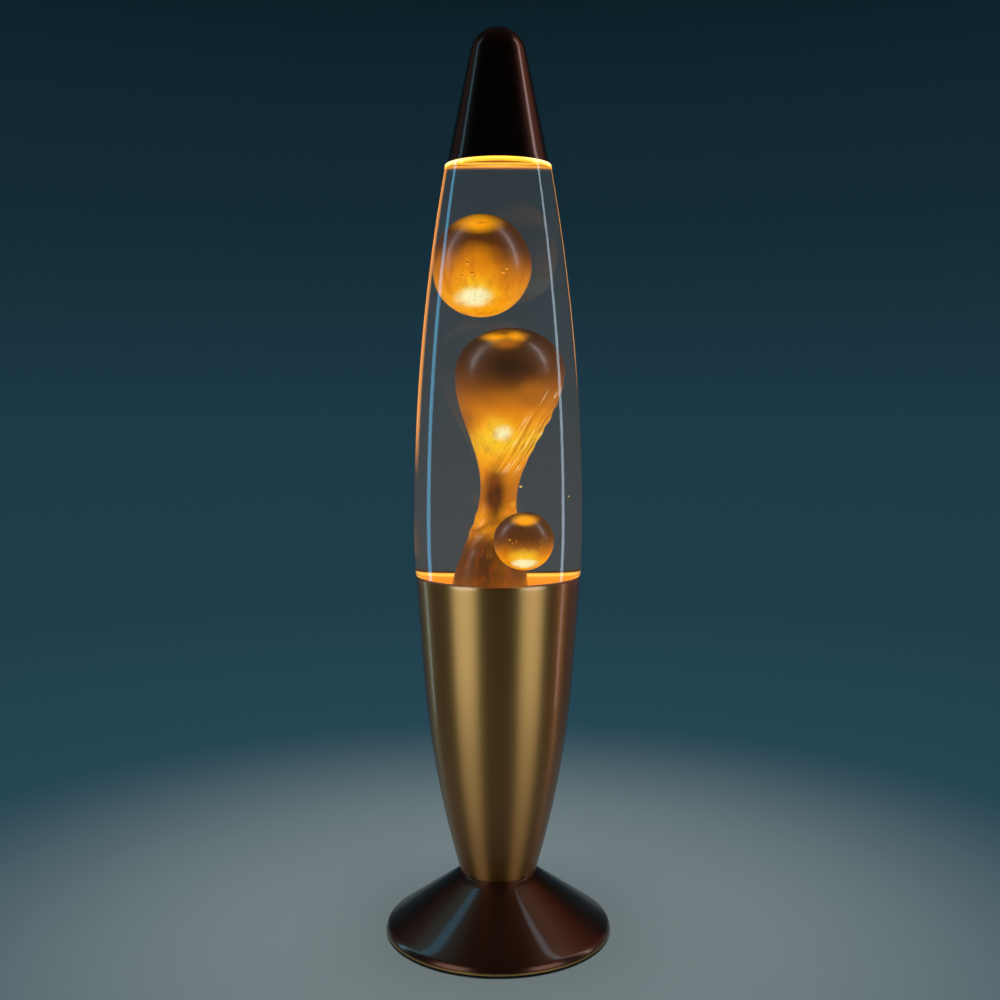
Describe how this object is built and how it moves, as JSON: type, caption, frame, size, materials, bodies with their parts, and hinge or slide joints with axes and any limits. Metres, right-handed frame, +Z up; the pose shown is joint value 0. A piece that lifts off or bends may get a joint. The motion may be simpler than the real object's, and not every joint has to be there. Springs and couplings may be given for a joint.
{
  "type": "liquid motion lamp",
  "caption": "Table lamp with a tapered glass globe of liquid and drifting wax on a waisted metal body with a flared foot, and a cone cap over the globe's neck.",
  "frame": {"origin": "centre of the lamp's underside, on the surface that its rubber feet stand on", "axes": "+Z up along the lamp's axis; -Y towards the pictured side; +Y towards the cord bush"},
  "size_m": [0.1032, 0.1032, 0.406],
  "materials": {
    "cap_metal": "dark bronze lacquer, glossy",
    "body_metal": "bronze lacquer over spun metal, satin",
    "foot_metal": "dark bronze lacquer, satin",
    "globe_glass": "clear",
    "liquid": "clear liquid",
    "wax": "warm glowing wax",
    "crown_metal": "lacquered tin plate",
    "liner": "soft seal",
    "steel": "plated",
    "brass": "plain",
    "cover_metal": "black paint",
    "rubber": "matt",
    "holder_plastic": "heat resistant moulding",
    "bulb_glass": "frosted dome, silvered bowl",
    "insulator": "black vitreous",
    "solder": "solder"
  },
  "bodies": {
    "base": {"base_body": "body_metal", "foot": "foot_metal", "foot_cover": "cover_metal", "rubber_feet": "rubber", "cord_bush": "rubber", "lamp_pipe": "steel", "pipe_nut_lower": "brass", "pipe_lock_washer": "steel", "pipe_nut_upper": "brass", "holder_housing": "holder_plastic", "holder_sleeve": "brass", "contact_block": "holder_plastic", "centre_contact": "brass", "terminal_screws": "steel"},
    "globe": {"globe_glass": "globe_glass", "crown_closure": "crown_metal", "closure_liner": "liner", "liquid_fill": "liquid", "wax_column": "wax", "wire_coil": "steel"},
    "cap": {"top_cap": "cap_metal"},
    "wax_upper": {"wax_upper_blob": "wax"},
    "wax_lower": {"wax_lower_blob": "wax"},
    "bulb_foot": {"bulb_tip_contact": "solder"},
    "bulb": {"bulb_envelope": "bulb_glass", "bulb_screw_cap": "steel", "bulb_insulator": "insulator"}
  },
  "joints": [
    {"name": "globe_lift", "type": "slide", "parent": "base", "child": "globe", "axis": [0, 0, 1], "range_m": [0, 0.06]},
    {"name": "cap_lift", "type": "slide", "parent": "globe", "child": "cap", "axis": [0, 0, 1], "range_m": [0, 0.04]},
    {"name": "wax_upper_drift", "type": "slide", "parent": "globe", "child": "wax_upper", "axis": [0, 0, 1], "range_m": [-0.003, 0.016], "deforming": ["liquid_fill"]},
    {"name": "wax_lower_drift", "type": "slide", "parent": "globe", "child": "wax_lower", "axis": [0, 0, 1], "range_m": [-0.003, 0.016], "deforming": ["liquid_fill"]},
    {"name": "bulb_draw", "type": "slide", "parent": "base", "child": "bulb_foot", "axis": [0, 0, 1], "range_m": [0, 0.0127]},
    {"name": "bulb_turn", "type": "hinge", "parent": "bulb_foot", "child": "bulb", "pos_m": [0, 0, 0.06], "axis": [0, 0, 1], "range_deg": [0, 1620]}
  ],
  "couplings": [
    {"joint": "bulb_turn", "follows": "bulb_draw", "rad_per_m": 2226.3}
  ]
}
